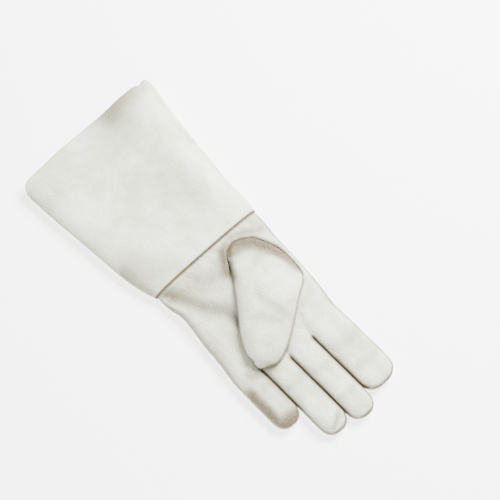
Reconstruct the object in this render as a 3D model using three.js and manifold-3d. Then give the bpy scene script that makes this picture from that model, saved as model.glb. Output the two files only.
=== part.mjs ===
// A left-hand gauntlet glove in white leather, lying palm up with the thumb folded across the palm.
// Millimetres, +Z up. The hand points along +X and the thumb side is +Y.
// Every leather piece is a thin wall around the hollow that the hand and arm go into.
import * as THREE from "three";
import { mergeVertices } from "three/addons/utils/BufferGeometryUtils.js";
import Module from "manifold-3d";

const wasm = await Module();
wasm.setup();

// Leather and seams
const handLeather = 1.2;
const cuffLeather = 1.6;
const seamGap = 0.3;

// Gauntlet cuff, as it lies
const cuffLength = 163;
const hemWidth = 162;
const wristWidth = 124;
const cuffHeight = 19;
const cuffEdgeHeight = 7;
const cuffCrest = 5;
const cuffLap = 9;
const hemSlant = 5;
const seamSideCornerRadius = 11;
const foldSideCornerRadius = 6;

// Hand, from the wrist seam to the fork between the middle fingers
const palmLength = 115;
const palmHeight = 15.5;
const seamHeight = 6;
const knuckleOffset = -5.8;
const fingerGap = 0.8;
const fingerTipLength = 15;
const fingerRootOverlap = 26;
const fingerRootShare = 0.88;
const knuckleSpread = 0.5;
const forkStepWidth = 0.6;

// Fingers, from the index side. Width and height are shares of fingerWidth and fingerHeight, reach is the
// length past the palm as a share of fingerLength, and fork, a share of palmLength, is where the crotch on
// the little-finger side of that finger is.
const fingerLength = 91;
const fingerWidth = 27;
const fingerHeight = 13.4;
const fingerShares = [
  { name: "index", width: 1.333, height: 0.955, reach: 0.912, fork: 1.0 },
  { name: "middle", width: 1.0, height: 1.0, reach: 1.0, fork: 1.0 },
  { name: "ring", width: 0.981, height: 1.0, reach: 0.934, fork: 0.917 },
  { name: "little", width: 0.963, height: 0.955, reach: 0.604, fork: 0.917 },
];

// Fourchettes, the strips sewn between two fingers
const fourchetteHeight = 8;
const fourchetteTipHeight = 3;
const fourchetteLift = 0.5;
const fourchetteCrotch = 2;

// Points, the three stitched tucks on the back of the hand
const pointRise = 0.8;
const pointWidth = 2.6;
const pointStart = 28;
const pointSpacingAtWrist = 17;
const pointToFork = 6;

// Thumb, folded over the palm
const thumbLength = 116;
const thumbWidth = 66;
const thumbHeight = 15;
const thumbAngle = -49;
const thumbRootX = 34.5;
const thumbRootY = 45.9;
const thumbHinge = 38;
const thumbRootDepth = 3;
const thumbEdgeHeight = 4.5;
const thumbLeastCrown = 0.2;

// Sides of each cross-section
const tubeSides = 34;
const fingerSides = 20;
const thumbSides = 24;
const pointSides = 8;

// Cuff sections: along is a share of cuffLength from the wrist seam. seamSide and foldSide are the half
// widths, as shares of the straight line from wrist to hem, height is a share of cuffHeight, and crest of
// cuffCrest.
const cuffSections = [
  { along: 0.0, seamSide: 1.0, foldSide: 1.0, height: 0.9, crest: 0.0 },
  { along: 0.12, seamSide: 1.05, foldSide: 1.0, height: 0.92, crest: 0.1 },
  { along: 0.2, seamSide: 1.06, foldSide: 0.975, height: 0.94, crest: 0.35 },
  { along: 0.32, seamSide: 1.05, foldSide: 0.97, height: 0.96, crest: 0.7 },
  { along: 0.52, seamSide: 1.03, foldSide: 0.97, height: 0.98, crest: 0.95 },
  { along: 0.72, seamSide: 1.02, foldSide: 0.98, height: 1.0, crest: 1.0 },
  { along: 0.88, seamSide: 1.0, foldSide: 1.0, height: 0.98, crest: 1.0 },
  { along: 1.06, seamSide: 0.995, foldSide: 1.01, height: 0.92, crest: 0.9 },
];

// Palm sections: along is a share of palmLength, little and index are the half widths, as shares of the
// straight line from wrist to knuckles, and height is a share of palmHeight.
const palmSections = [
  { along: 0.0, little: 1.0, index: 1.0, height: 0.9 },
  { along: 0.06, little: 1.0, index: 1.015, height: 0.9 },
  { along: 0.14, little: 0.985, index: 1.015, height: 0.93 },
  { along: 0.24, little: 0.94, index: 1.0, height: 0.97 },
  { along: 0.34, little: 0.94, index: 1.0, height: 0.99 },
  { along: 0.44, little: 0.955, index: 1.0, height: 1.0 },
  { along: 0.54, little: 0.97, index: 1.0, height: 1.0 },
  { along: 0.64, little: 0.98, index: 1.0, height: 0.99 },
  { along: 0.74, little: 0.985, index: 1.0, height: 0.97 },
  { along: 0.82, little: 0.99, index: 1.0, height: 0.93 },
  { along: 0.9, little: 0.99, index: 1.0, height: 0.87 },
  { along: 1.0, little: 0.98, index: 0.985, height: 0.7 },
];

// Thumb sections: along is a share of thumbLength from the root seam. wrist and finger are the half widths
// on those two sides, as shares of half of thumbWidth, and rise is a share of thumbHeight above the palm.
const thumbSections = [
  { along: 0.0, wrist: 0.6, finger: -0.3, rise: 0.02 },
  { along: 0.025, wrist: 0.8, finger: -0.05, rise: 0.12 },
  { along: 0.07, wrist: 1.05, finger: 0.22, rise: 0.26 },
  { along: 0.115, wrist: 1.13, finger: 0.45, rise: 0.42 },
  { along: 0.165, wrist: 1.06, finger: 0.68, rise: 0.58 },
  { along: 0.22, wrist: 0.98, finger: 0.88, rise: 0.74 },
  { along: 0.29, wrist: 0.93, finger: 1.04, rise: 0.88 },
  { along: 0.36, wrist: 0.89, finger: 1.03, rise: 0.97 },
  { along: 0.48, wrist: 0.8, finger: 0.94, rise: 1.0 },
  { along: 0.65, wrist: 0.69, finger: 0.82, rise: 0.98 },
  { along: 0.8, wrist: 0.6, finger: 0.72, rise: 0.93 },
  { along: 0.89, wrist: 0.48, finger: 0.62, rise: 0.86 },
  { along: 0.95, wrist: 0.34, finger: 0.49, rise: 0.74 },
  { along: 0.985, wrist: 0.18, finger: 0.32, rise: 0.58 },
  { along: 1.0, wrist: 0.04, finger: 0.16, rise: 0.44 },
];

// Dents and swells of the upper leather, each along a straight run. Along is a share of the length of the
// palm or cuff from the wrist seam, across and spread are shares of half of wristWidth or hemWidth, and
// rise is a share of palmHeight or cuffHeight, negative for a dent.
const palmFolds = [
  { name: "valley", fromAlong: 0.0, fromAcross: -0.9, toAlong: 0.64, toAcross: -0.5, spread: 0.17, rise: -0.24 },
  { name: "hollow", fromAlong: 0.16, fromAcross: -0.5, toAlong: 0.15, toAcross: 0.1, spread: 0.22, rise: -0.13 },
  { name: "heel", fromAlong: 0.22, fromAcross: -0.86, toAlong: 0.8, toAcross: -0.82, spread: 0.2, rise: 0.14 },
  { name: "rim_wrist", fromAlong: 0.06, fromAcross: 0.18, toAlong: 0.12, toAcross: 0.56, spread: 0.07, rise: 0.14 },
  { name: "rim_top", fromAlong: 0.16, fromAcross: 0.68, toAlong: 0.46, toAcross: 0.86, spread: 0.08, rise: 0.16 },
  { name: "rim_finger", fromAlong: 0.5, fromAcross: 0.86, toAlong: 0.74, toAcross: 0.78, spread: 0.08, rise: 0.12 },
  { name: "tuck", fromAlong: 0.04, fromAcross: 0.72, toAlong: 0.17, toAcross: 0.84, spread: 0.06, rise: -0.14 },
];
const cuffFolds = [
  { name: "middle", fromAlong: 0.15, fromAcross: 0.02, toAlong: 0.9, toAcross: 0.14, spread: 0.3, rise: -0.1 },
  { name: "hem_dip", fromAlong: 0.9, fromAcross: 0.35, toAlong: 1.06, toAcross: 0.3, spread: 0.22, rise: -0.14 },
  { name: "wrist_roll", fromAlong: 0.02, fromAcross: -0.68, toAlong: 0.2, toAcross: -0.78, spread: 0.18, rise: -0.22 },
];

// How square the sections are: 2 is an ellipse, and more is flatter with tighter sides.
const cuffCrown = 2.7;
const palmCrown = 3;
const fingerCrown = 2.4;
const underside = 6;
const underRoll = 1.06;
const fingerTipRoundness = 2.3;
const fingerTipShares = [0.4, 0.65, 0.83, 0.94, 1];
const fingerTipFlat = 0.03;

// Where the cuff's crest runs across, and how wide it is, as shares of the half width there
const crestPlace = 0.66;
const crestSpread = 0.3;

// Past the ends of anything that a cut has to reach
const farAway = 2 * (cuffLength + palmLength);

function solidOf(geometry) {
  const bare = geometry.clone();
  bare.deleteAttribute("normal");
  bare.deleteAttribute("uv");
  const merged = mergeVertices(bare, 1e-4);
  return new wasm.Manifold(
    new wasm.Mesh({
      numProp: 3,
      vertProperties: new Float32Array(merged.attributes.position.array),
      triVerts: new Uint32Array(merged.index.array),
    }),
  );
}

function boxSolid(low, high) {
  const size = high.clone().sub(low);
  const box = new THREE.BoxGeometry(size.x, size.y, size.z);
  return solidOf(box.translate(...low.clone().add(high).divideScalar(2).toArray()));
}

// A closed skin over a row of rings that have the same number of points, with both ends capped.
function loft(rings) {
  const sides = rings[0].length;
  const points = rings.flat();
  const faces = [];
  for (let ring = 0; ring + 1 < rings.length; ring += 1) {
    for (let side = 0; side < sides; side += 1) {
      const next = (side + 1) % sides;
      const a = ring * sides + side;
      const b = ring * sides + next;
      faces.push(a, a + sides, b, b, a + sides, b + sides);
    }
  }
  for (const [ring, turned] of [[0, false], [rings.length - 1, true]]) {
    const middle = points.length;
    const sum = new THREE.Vector3();
    rings[ring].forEach((point) => sum.add(point));
    points.push(sum.divideScalar(sides));
    for (let side = 0; side < sides; side += 1) {
      const a = ring * sides + side;
      const b = ring * sides + ((side + 1) % sides);
      faces.push(...(turned ? [middle, b, a] : [middle, a, b]));
    }
  }
  const geometry = new THREE.BufferGeometry().setFromPoints(points);
  geometry.setIndex(faces);
  const made = solidOf(geometry);
  if (made.volume() > 0) return made;
  for (let face = 0; face < faces.length; face += 3) {
    [faces[face], faces[face + 2]] = [faces[face + 2], faces[face]];
  }
  geometry.setIndex(faces);
  return solidOf(geometry);
}

// One cross-section as [across, up] pairs: widest at edge height, arched to top and nearly flat underneath.
function section({ low, high, bottom, edge, top, crown, sides }) {
  const middle = (low + high) / 2;
  const half = (high - low) / 2;
  const pairs = [];
  for (let side = 0; side < sides; side += 1) {
    const angle = (2 * Math.PI * side) / sides;
    const across = Math.cos(angle);
    const up = Math.sin(angle);
    const squareness = 2 / (up < 0 ? underside : crown);
    const height = up < 0 ? -(Math.min(-up * underRoll, 1) ** squareness) : up ** squareness;
    const reach = up < 0 ? edge - bottom : top - edge;
    pairs.push([
      middle + half * Math.sign(across) * Math.abs(across) ** squareness,
      edge + reach * height,
    ]);
  }
  return pairs;
}

const mix = THREE.MathUtils.lerp;

// How far the folds of a table lift the leather at a place, in the units of length, halfWidth and height.
function foldLift(folds, length, halfWidth, height, along, across) {
  const place = new THREE.Vector3(along, across, 0);
  const nearest = new THREE.Vector3();
  return folds.reduce((sum, fold) => {
    const run = new THREE.Line3(
      new THREE.Vector3(fold.fromAlong * length, fold.fromAcross * halfWidth, 0),
      new THREE.Vector3(fold.toAlong * length, fold.toAcross * halfWidth, 0),
    );
    const away = run.closestPointToPoint(place, true, nearest).distanceTo(place) / (fold.spread * halfWidth);
    return sum + fold.rise * height * Math.exp(-away * away);
  }, 0);
}

// Where each finger lies: reach and fork from the wrist seam, high its index side and low the other.
const fingers = fingerShares.map((row) => ({
  name: row.name,
  width: row.width * fingerWidth,
  height: row.height * fingerHeight,
  reach: palmLength + row.reach * fingerLength,
  fork: row.fork * palmLength,
}));
const knuckleWidth =
  fingers.reduce((sum, finger) => sum + finger.width, 0) + fingerGap * (fingers.length - 1);
let edgeAcross = knuckleOffset + knuckleWidth / 2;
for (const finger of fingers) {
  finger.high = edgeAcross;
  finger.low = edgeAcross - finger.width;
  finger.centre = edgeAcross - finger.width / 2;
  edgeAcross = finger.low - fingerGap;
}

// The palm's section at a distance from the wrist seam, grown outwards by extra. At the wrist it fills the cuff.
function palmRow(row, extra, x) {
  const atWrist = row.along === 0;
  const lapped = cuffLeather + seamGap;
  const wristHalf = wristWidth / 2 - lapped;
  const indexHalf = mix(wristHalf, knuckleWidth / 2 + knuckleOffset + knuckleSpread, row.along);
  const littleHalf = mix(wristHalf, knuckleWidth / 2 - knuckleOffset + knuckleSpread, row.along);
  return {
    x,
    low: -littleHalf * row.little - extra,
    high: indexHalf * row.index + extra,
    bottom: (atWrist ? lapped : pointRise) - extra,
    edge: atWrist ? cuffEdgeHeight : seamHeight,
    top: (atWrist ? cuffHeight * cuffSections[0].height - lapped : palmHeight * row.height) + extra,
    crown: atWrist ? cuffCrown : palmCrown,
    sides: tubeSides,
  };
}

const ringAcrossX = (row) => section(row).map(([y, z]) => new THREE.Vector3(row.x, y, z));

// A ring of the palm, with its dents and swells fading out towards the side seams and under the cuff.
function palmRing(row) {
  return ringAcrossX(row).map((point) => {
    const topward = THREE.MathUtils.clamp((point.z - row.edge) / (row.top - row.edge), 0, 1);
    const clearOfLap = THREE.MathUtils.clamp(row.x / palmLength / palmSections[1].along, 0, 1);
    const lift = foldLift(palmFolds, palmLength, wristWidth / 2, palmHeight, point.x, point.y);
    return point.setZ(point.z + lift * topward * clearOfLap);
  });
}

// The palm's volume, which steps in to the middle of the ring finger at the fork nearest the wrist.
function palmVolume(extra, start) {
  const rows = palmSections.map((row) => palmRow(row, extra, row.along * palmLength + Math.min(extra, 0)));
  const last = rows.at(-1);
  const [ring, little] = fingers.slice(-2);
  const stepAt = little.fork + Math.min(extra, 0);
  const stepAcross = ring.centre - ring.width / 4 - extra;
  const nearStep = { ...rows.at(-2), x: stepAt - forkStepWidth / 2 };
  const pastStep = { ...rows.at(-2), x: stepAt + forkStepWidth / 2, low: stepAcross };
  const before = rows.filter((row) => row.x < nearStep.x - forkStepWidth);
  before[0].x = 2 * seamGap;
  return loft([{ ...before[0], x: start }, ...before, nearStep, pastStep, { ...last, low: stepAcross }].map(palmRing));
}

// The bed that the thumb lies on: the palm's top surface, carried on over the forks, and the fingers.
function thumbBed(extra) {
  const tallest = Math.max(...fingers.map((finger) => finger.height)) + extra;
  const rows = palmSections.map((row) => palmRow(row, extra, row.along * palmLength));
  rows.forEach((row) => (row.top = Math.max(row.top, tallest)));
  rows.push({ ...rows.at(-1), x: farAway });
  return fingers.reduce((bed, finger) => bed.add(fingerVolume(finger, extra)), loft(rows.map(palmRing)));
}

// One finger's volume, grown by extra, from inside the palm to its round tip.
function fingerVolume(finger, extra) {
  const tip = finger.reach + Math.min(extra, 0);
  const straightEnd = tip - fingerTipLength;
  const rings = [
    { x: finger.fork - fingerRootOverlap, share: fingerRootShare },
    { x: finger.fork, share: 1 },
    { x: mix(finger.fork, straightEnd, 0.5), share: 1 },
    { x: straightEnd, share: 1 },
  ];
  for (const reached of fingerTipShares) {
    const left = Math.max(1 - reached ** fingerTipRoundness, fingerTipFlat);
    rings.push({ x: straightEnd + reached * fingerTipLength, share: left ** (1 / fingerTipRoundness) });
  }
  const half = finger.width / 2 + extra;
  return loft(
    rings.map(({ x, share }) =>
      ringAcrossX({
        x,
        low: finger.centre - half * share,
        high: finger.centre + half * share,
        bottom: seamHeight - (seamHeight + extra) * share,
        edge: seamHeight,
        top: seamHeight + (finger.height + extra - seamHeight) * share,
        crown: fingerCrown,
        sides: fingerSides,
      }),
    ),
  );
}

const thumbAlong = new THREE.Vector3(1, 0, 0).applyAxisAngle(
  new THREE.Vector3(0, 0, 1),
  THREE.MathUtils.degToRad(thumbAngle),
);
const thumbAcross = new THREE.Vector3(-thumbAlong.y, thumbAlong.x, 0);
const thumbRoot = new THREE.Vector3(thumbRootX, thumbRootY, 0);
const thumbFloor = palmHeight - thumbRootDepth;

// The thumb's volume before it is cut to its bed, grown by extra, with its underside at bottom.
function thumbVolume(extra, bottom) {
  return loft(
    thumbSections.map((row) => {
      const rise = row.rise * thumbHeight;
      const edge = palmHeight + Math.min(thumbEdgeHeight, rise / 2);
      const distance = mix(-extra, thumbLength + extra, row.along);
      return section({
        low: (-thumbWidth / 2) * row.wrist - extra,
        high: (thumbWidth / 2) * row.finger + extra,
        bottom,
        edge,
        top: Math.max(palmHeight + rise + extra, edge + thumbLeastCrown),
        crown: palmCrown,
        sides: thumbSides,
      }).map(([across, up]) =>
        thumbRoot
          .clone()
          .addScaledVector(thumbAlong, distance)
          .addScaledVector(thumbAcross, across)
          .setZ(up),
      );
    }),
  );
}

// Everything past a distance along the thumb, in line with it.
function pastAlongThumb(distance) {
  const box = new THREE.BoxGeometry(farAway, farAway, farAway);
  box.translate(farAway / 2 + distance, 0, 0);
  box.rotateZ(THREE.MathUtils.degToRad(thumbAngle));
  return solidOf(box.translate(thumbRootX, thumbRootY, 0));
}

function makeThumb() {
  const outside = thumbVolume(0, thumbFloor).subtract(
    thumbBed(seamGap).intersect(pastAlongThumb(thumbHinge)),
  );
  const inside = thumbVolume(-handLeather, thumbFloor - thumbRootDepth).subtract(
    thumbBed(seamGap + handLeather).intersect(pastAlongThumb(thumbHinge - handLeather)),
  );
  return outside.subtract(inside);
}

// What the palm gives up to the thumb's root.
function thumbHole() {
  return thumbVolume(seamGap, thumbFloor - thumbRootDepth).subtract(pastAlongThumb(thumbHinge + seamGap));
}

// The whole hand as one hollow wall, before it is cut into its sewn pieces.
function handShell() {
  let outside = palmVolume(0, -cuffLap);
  let inside = palmVolume(-handLeather, -farAway);
  for (const finger of fingers) {
    outside = outside.add(fingerVolume(finger, 0));
    inside = inside.add(fingerVolume(finger, -handLeather));
  }
  return outside.subtract(inside);
}

// The strip between two fingers: tall at their crotch and tapered to both tips, grown by extra.
function fourchetteSpace(finger, nextFinger, extra) {
  const tall = fourchetteHeight / 2 + extra;
  const short = fourchetteTipHeight / 2 + extra;
  const start = finger.fork - handLeather - fourchetteCrotch - extra;
  const end = Math.max(finger.reach, nextFinger.reach) + extra;
  const middle = seamHeight + fourchetteLift;
  const outline = new THREE.Shape([
    new THREE.Vector2(start, middle - tall),
    new THREE.Vector2(end, middle - short),
    new THREE.Vector2(end, middle + short),
    new THREE.Vector2(start, middle + tall),
  ]);
  const width = finger.centre - nextFinger.centre - seamGap + 2 * extra;
  const strip = new THREE.ExtrudeGeometry(outline, { depth: width, bevelEnabled: false });
  strip.rotateX(Math.PI / 2);
  return solidOf(strip.translate(0, finger.centre - seamGap / 2 + extra, 0));
}

// One tuck on the back of the hand, a low round ridge from near the wrist to a fork.
function backPoint(finger, place) {
  const end = new THREE.Vector3(finger.fork - pointToFork, finger.low - fingerGap / 2, 0);
  const start = new THREE.Vector3(pointStart, pointSpacingAtWrist * place + knuckleOffset / 2, 0);
  const direction = end.clone().sub(start);
  const ridge = new THREE.CylinderGeometry(pointWidth / 2, pointWidth / 2, direction.length(), pointSides);
  ridge.rotateZ(-Math.PI / 2);
  ridge.scale(1, 1, (2 * pointRise) / pointWidth);
  ridge.rotateZ(Math.atan2(direction.y, direction.x));
  return solidOf(ridge.translate(...start.add(end).divideScalar(2).setZ(pointRise).toArray()));
}

const cuffHalf = (along) => mix(wristWidth / 2, hemWidth / 2, along);

// The cuff's volume, shrunk by inset, with the soft crest that runs down its folded side.
function cuffVolume(inset, start, end) {
  const rows = cuffSections.map((row) => ({ ...row, x: -row.along * cuffLength }));
  rows[0].x = -cuffLap;
  rows.at(-1).x = end;
  return loft(
    [{ ...rows[0], x: start }, ...rows].map((row) => {
      const half = cuffHalf(row.along);
      const top = cuffHeight * row.height - inset;
      return section({
        low: -half * row.seamSide + inset,
        high: half * row.foldSide - inset,
        bottom: inset,
        edge: cuffEdgeHeight,
        top,
        crown: cuffCrown,
        sides: tubeSides,
      }).map(([y, z]) => {
        const topward = THREE.MathUtils.clamp((z - cuffEdgeHeight) / (top - cuffEdgeHeight), 0, 1);
        const fromCrest = (y / half - crestPlace) / crestSpread;
        const crest = cuffCrest * row.crest * Math.exp(-fromCrest * fromCrest);
        const folds = foldLift(cuffFolds, cuffLength, hemWidth / 2, cuffHeight, row.along * cuffLength, y);
        const clearOfLap = THREE.MathUtils.clamp(row.along / cuffSections[2].along, 0, 1);
        return new THREE.Vector3(row.x, y, z + (crest + folds * clearOfLap) * topward);
      });
    }),
  );
}

// The cuff's outline seen from above: straight sides well clear, and the hem with its two round corners.
function hemOutline() {
  const last = cuffSections.at(-1);
  const seamSide = -cuffHalf(last.along) * last.seamSide;
  const foldSide = cuffHalf(last.along) * last.foldSide;
  const hemAt = (y) => -cuffLength - (hemSlant * y) / hemWidth;
  const outline = new THREE.Shape();
  outline.moveTo(farAway, seamSide);
  outline.lineTo(hemAt(seamSide) + seamSideCornerRadius, seamSide);
  outline.quadraticCurveTo(hemAt(seamSide), seamSide, hemAt(seamSide), seamSide + seamSideCornerRadius);
  outline.lineTo(hemAt(foldSide), foldSide - foldSideCornerRadius);
  outline.quadraticCurveTo(hemAt(foldSide), foldSide, hemAt(foldSide) + foldSideCornerRadius, foldSide);
  outline.lineTo(farAway, foldSide);
  const prism = new THREE.ExtrudeGeometry(outline, { depth: farAway, bevelEnabled: false, curveSegments: 5 });
  return solidOf(prism.translate(0, 0, -farAway / 2));
}

function makeCuff() {
  const outside = cuffVolume(0, seamGap, -cuffSections.at(-1).along * cuffLength);
  const inside = cuffVolume(cuffLeather, farAway, -farAway);
  const closing = boxSolid(
    new THREE.Vector3(-farAway, -hemWidth, cuffEdgeHeight - seamGap / 2),
    new THREE.Vector3(farAway, -hemWidth / 4, cuffEdgeHeight + seamGap / 2),
  );
  return outside.subtract(inside).intersect(hemOutline()).subtract(closing);
}

const leatherLook = { roughness: 0.62, metalness: 0 };
const cuffMaterial = new THREE.MeshStandardMaterial({ color: 0xe6e7dc, ...leatherLook });
const handMaterial = new THREE.MeshStandardMaterial({ color: 0xe9ebe2, ...leatherLook });
const stripMaterial = new THREE.MeshStandardMaterial({ color: 0xdfe0d6, ...leatherLook });

function pieceMesh(name, solid, material) {
  const data = solid.getMesh();
  const positions = new Float32Array(data.numVert * 3);
  for (let i = 0; i < data.numVert; i += 1) {
    positions.set(data.vertProperties.subarray(i * data.numProp, i * data.numProp + 3), i * 3);
  }
  const geometry = new THREE.BufferGeometry();
  geometry.setAttribute("position", new THREE.BufferAttribute(positions, 3));
  geometry.setIndex(new THREE.BufferAttribute(data.triVerts, 1));
  geometry.computeVertexNormals();
  const mesh = new THREE.Mesh(geometry, material);
  mesh.name = name;
  return mesh;
}

const glove = new THREE.Group();
const shell = handShell();
const above = boxSolid(
  new THREE.Vector3(-farAway, -farAway, seamHeight + seamGap / 2),
  new THREE.Vector3(farAway, farAway, farAway),
);
const below = boxSolid(
  new THREE.Vector3(-farAway, -farAway, -farAway),
  new THREE.Vector3(farAway, farAway, seamHeight - seamGap / 2),
);
let palmPanel = shell.intersect(above).subtract(thumbHole());
let backPanel = shell.intersect(below);
fingers.slice(0, -1).forEach((finger, i) => {
  const nextFinger = fingers[i + 1];
  const cleared = fourchetteSpace(finger, nextFinger, seamGap);
  palmPanel = palmPanel.subtract(cleared);
  backPanel = backPanel.subtract(cleared).add(backPoint(finger, 1 - i));
  const strip = shell.intersect(fourchetteSpace(finger, nextFinger, 0));
  glove.add(pieceMesh(`fourchette_${finger.name}_${nextFinger.name}`, strip, stripMaterial));
});
glove.add(pieceMesh("palm_panel", palmPanel, handMaterial));
glove.add(pieceMesh("back_panel", backPanel, handMaterial));
glove.add(pieceMesh("thumb", makeThumb(), handMaterial));
glove.add(pieceMesh("gauntlet_cuff", makeCuff(), cuffMaterial));

const extent = new THREE.Box3().setFromObject(glove);
const middle = extent.getCenter(new THREE.Vector3());
glove.position.set(-middle.x, -middle.y, -extent.min.z);

export default glove;
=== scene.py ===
# A left-hand gauntlet glove in white leather, lying palm up with its thumb folded across the palm.
# Shapes are worked out in millimetres from the middle of the wrist seam, with the fingertips along +X,
# the index finger's side along +Y and the palm up. Each finished piece is then set into the frame.
import math

import bmesh
import bpy
import numpy as np
from mathutils import Matrix, Vector, noise
from mathutils.bvhtree import BVHTree
from mathutils.kdtree import KDTree


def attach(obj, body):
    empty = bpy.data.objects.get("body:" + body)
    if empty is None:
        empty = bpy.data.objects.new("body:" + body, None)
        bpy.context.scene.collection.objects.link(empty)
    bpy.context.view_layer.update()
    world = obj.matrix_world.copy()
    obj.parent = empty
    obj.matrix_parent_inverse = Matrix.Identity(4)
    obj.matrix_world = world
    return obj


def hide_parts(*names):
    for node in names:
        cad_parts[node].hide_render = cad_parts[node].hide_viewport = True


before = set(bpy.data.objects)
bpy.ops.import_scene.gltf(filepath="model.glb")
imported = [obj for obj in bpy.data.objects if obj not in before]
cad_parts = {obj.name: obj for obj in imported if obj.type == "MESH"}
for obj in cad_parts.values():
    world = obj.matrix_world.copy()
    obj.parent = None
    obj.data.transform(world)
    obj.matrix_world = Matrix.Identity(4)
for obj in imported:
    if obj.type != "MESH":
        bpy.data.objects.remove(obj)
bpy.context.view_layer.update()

# The middle of the wrist seam in the frame, in millimetres
WRIST_SEAM = Vector((-20.2197, -0.8127, 0))
MILLIMETRE = 0.001

# Leather and seams
HAND_WALL = 1.2
CUFF_WALL = 1.6
HEM_WALL = 2.8
HEM_TURN = 11
SEAM_GAP = 0.3
SEAM_DEPTH = 0.45
SEAM_SPREAD = 0.9
SEAM_WELT = 0.22
WELT_PLACE = 2.2
WELT_SPREAD = 1.2
PUCKER = 0.16
PUCKER_SIZE = 3.4
PUCKER_SPREAD = 3.5

# Cuff, as it lies
CUFF_LENGTH = 167
HEM_WIDTH = 162
WRIST_WIDTH = 124
CUFF_HEIGHT = 19
CUFF_EDGE_HEIGHT = 7
CUFF_CREST = 5.5
CUFF_LAP = 9
HEM_SLANT = 5
SEAM_SIDE_CORNER = 11
FOLD_SIDE_CORNER = 6
HEM_NOTCH = 2.6
HEM_NOTCH_ACROSS = 70
HEM_NOTCH_SPREAD = 3.5

# Hand, from the wrist seam
PALM_LENGTH = 115
PALM_HEIGHT = 15.5
SEAM_HEIGHT = 6
KNUCKLE_OFFSET = -5.8
KNUCKLE_SPREAD = 0.5
FINGER_GAP = 0.3
FINGER_TIP = 15
FINGER_ROOT = 26
FINGER_ROOT_SHARE = 0.88
FINGER_LENGTH = 91
FINGER_WIDTH = 27
FINGER_HEIGHT = 13.4
POINT_RISE = 0.8
POINT_WIDTH = 2.6
POINT_START = 28
POINT_SPACING = 17
POINT_TO_FORK = 6

# Strips between the fingers
STRIP_HEIGHT = 8
STRIP_TIP_HEIGHT = 3
STRIP_LIFT = 0.5
STRIP_CROTCH = 2

# Thumb
THUMB_LENGTH = 116
THUMB_WIDTH = 66
THUMB_HEIGHT = 15
THUMB_ANGLE = math.radians(-49)
THUMB_ROOT = Vector((34.5, 45.9, 0))
THUMB_HINGE = 38
THUMB_ROOT_DEPTH = 3
THUMB_EDGE = 2.6
THUMB_CLEARANCE = 0.35
THUMB_SEAM_UP = 2
ROOT_EDGE_DROP = 0.5
ROOT_LENGTH = 25
WEDGE_START = 8
ROOT_GAP = 0.05
TIP_CAP = 0.8
HOLE_TUCK = 6
ROOT_DIP = 2.6
ROOT_DIP_INSIDE = 6
ROOT_DIP_SPREAD = 5
RIM_RISE = 2.2
RIM_OUTSIDE = 3.5
RIM_SPREAD = 4.5

# How square the cross-sections are: 2 is an ellipse, and more is flatter with tighter sides
CUFF_CROWN = 2.7
PALM_CROWN = 3.0
FINGER_CROWN = 2.9
THUMB_CROWN = 2.7
UNDERSIDE = 5.0
TIP_ROUNDNESS = 2.3
CREST_PLACE = 0.66
CREST_SPREAD = 0.3

# Fineness of the modelled leather
HAND_VOXEL = 0.85
SPREAD_APART = 3.0
SMOOTHING = 7
BODY_SIDES = 120
THUMB_SIDES = 132
THUMB_ROWS = 150
CUFF_SIDES = 220
CUFF_ROWS = 104

# How much painted shade the leather gets, from 0 to 1: an even base all over that painted highlights lighten,
# dark seam lines with painted shade in their grooves and under the cuff's edge, and painted shade on its
# rims, steep edges, the thumb's root and the bowl inside it
PAINTED_SHADE_BASE = 0.08
SEAM_DARK_AND_SHADE = 0.9
WRIST_SEAM_DARK_AND_SHADE = 0.95
RIM_PAINTED_SHADE = 0.55
NEAR_EDGE_PAINTED_SHADE = 0.62
FAR_EDGE_PAINTED_SHADE = 0.92
THUMB_SEAM_DARK_AND_SHADE = 0.75
THUMB_EDGE_PAINTED_SHADE = 0.6
ROOT_SEAM_DARK_AND_SHADE = 0.95
BOWL_PAINTED_SHADE = 0.86

# How far the fingers lean to the little finger's side, and where along the hand they start and end to
LEAN = 2.0
LEAN_FROM = 70
LEAN_TO = 130

# The lowest that the folded thumb may lie, on the palm and past the forks of the fingers
BED_LOWEST = 10.5
BED_LOWEST_AT_FINGERS = 12.2

# How finely edges and paths are sampled, and the furthest distance from them that matters
SAMPLE_STEP = 0.3
FAR = 30

FINGER_SHARES = [
    {"name": "index", "width": 1.333, "height": 0.955, "reach": 0.912, "fork": 1.07},
    {"name": "middle", "width": 1.0, "height": 1.0, "reach": 1.025, "fork": 1.07},
    {"name": "ring", "width": 0.981, "height": 1.0, "reach": 0.96, "fork": 1.0},
    {"name": "little", "width": 0.963, "height": 0.955, "reach": 0.604, "fork": 0.917},
]
CUFF_SECTIONS = {
    "along": [0.0, 0.12, 0.2, 0.32, 0.52, 0.72, 0.88, 1.06],
    "seam": [1.0, 1.05, 1.06, 1.05, 1.03, 1.02, 1.0, 0.995],
    "fold": [1.0, 1.0, 0.975, 0.97, 0.97, 0.98, 1.0, 1.01],
    "height": [0.9, 0.92, 0.94, 0.96, 0.98, 1.0, 0.98, 0.92],
    "crest": [0.0, 0.1, 0.35, 0.7, 0.95, 1.0, 1.0, 0.9],
}
PALM_SECTIONS = {
    "along": [0.0, 0.06, 0.14, 0.24, 0.34, 0.44, 0.54, 0.64, 0.74, 0.82, 0.9, 1.0],
    "little": [1.0, 1.0, 0.985, 0.94, 0.94, 0.955, 0.97, 0.98, 0.985, 0.99, 0.99, 0.98],
    "index": [1.0, 1.015, 1.015, 1.0, 1.0, 1.0, 1.0, 1.0, 1.0, 1.0, 1.0, 0.985],
    "height": [0.9, 0.9, 0.93, 0.97, 0.99, 1.0, 1.0, 0.99, 0.97, 0.93, 0.87, 0.7],
}
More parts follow.
